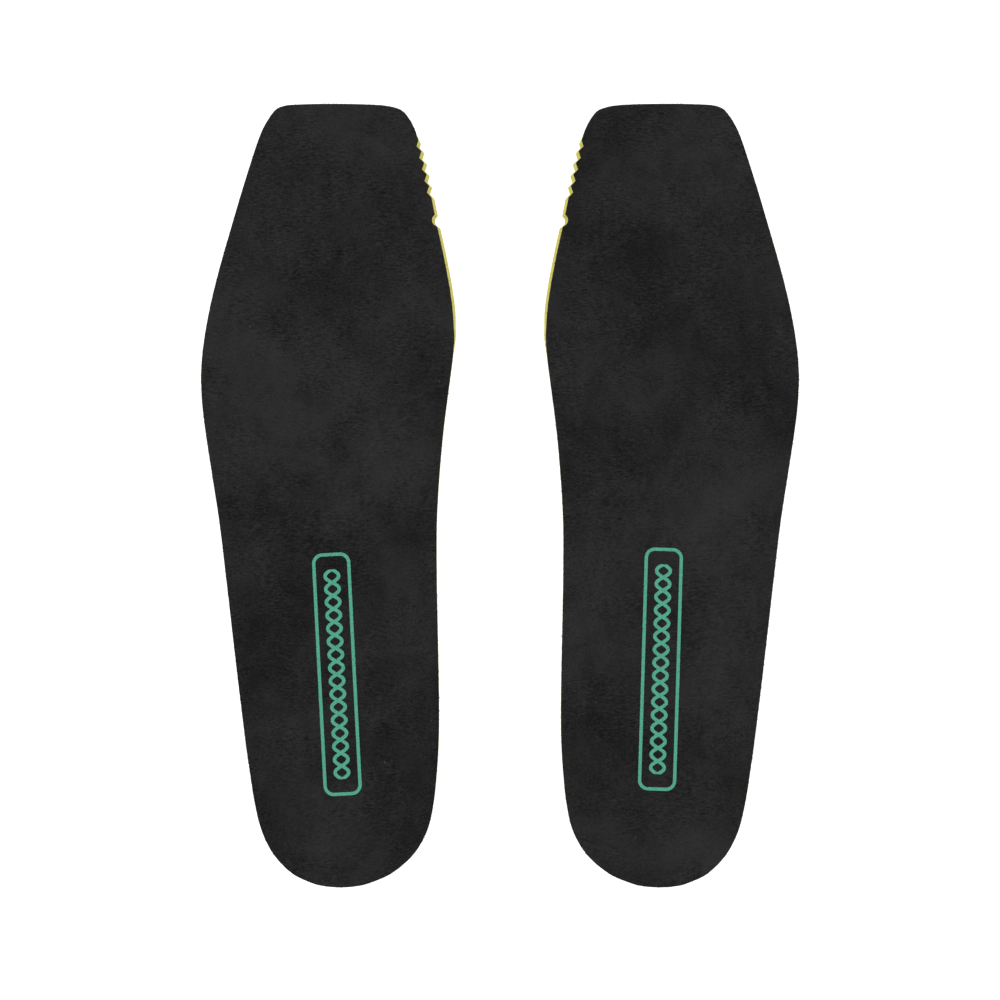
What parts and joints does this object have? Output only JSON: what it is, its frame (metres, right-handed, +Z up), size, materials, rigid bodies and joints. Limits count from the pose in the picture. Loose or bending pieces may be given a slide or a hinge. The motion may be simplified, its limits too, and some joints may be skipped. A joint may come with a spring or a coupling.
{
  "type": "cushioned insole pair",
  "caption": "Left and right square-toe boot insoles: foam base, brushed fabric top cover, heel cup, raised arch, underside pads and a printed heel panel.",
  "frame": {"origin": "middle of the pair's footprint on the surface that the soles lie on", "axes": "+Y from the heels to the toes, +Z up through the top covers, +X from the left insole to the right one"},
  "size_m": [0.2272, 0.2963, 0.0162],
  "materials": {
    "cover_fabric": "matte",
    "base_foam": "matte",
    "pad_foam": "matte",
    "green_ink": "matte"
  },
  "bodies": {
    "rearfeet": {"left_top_cover_rear": "cover_fabric", "left_foam_base_rear": "base_foam", "left_heel_pad": "pad_foam", "left_print_border": "green_ink", "left_print_pattern": "green_ink", "right_top_cover_rear": "cover_fabric", "right_foam_base_rear": "base_foam", "right_heel_pad": "pad_foam", "right_print_border": "green_ink", "right_print_pattern": "green_ink"},
    "left_forefoot": {"left_top_cover_front": "cover_fabric", "left_foam_base_front": "base_foam", "left_forefoot_pad": "pad_foam"},
    "right_forefoot": {"right_top_cover_front": "cover_fabric", "right_foam_base_front": "base_foam", "right_forefoot_pad": "pad_foam"}
  },
  "joints": [
    {"name": "left_toe_flex", "type": "hinge", "parent": "rearfeet", "child": "left_forefoot", "pos_m": [-0.0601, 0.0535, 0.005], "axis": [0.9781, 0.2079, 0], "range_deg": [0, 50], "stiffness_Nm_per_rad": 0.15},
    {"name": "right_toe_flex", "type": "hinge", "parent": "rearfeet", "child": "right_forefoot", "pos_m": [0.0601, 0.0535, 0.005], "axis": [0.9781, -0.2079, 0], "range_deg": [0, 50], "stiffness_Nm_per_rad": 0.15}
  ]
}
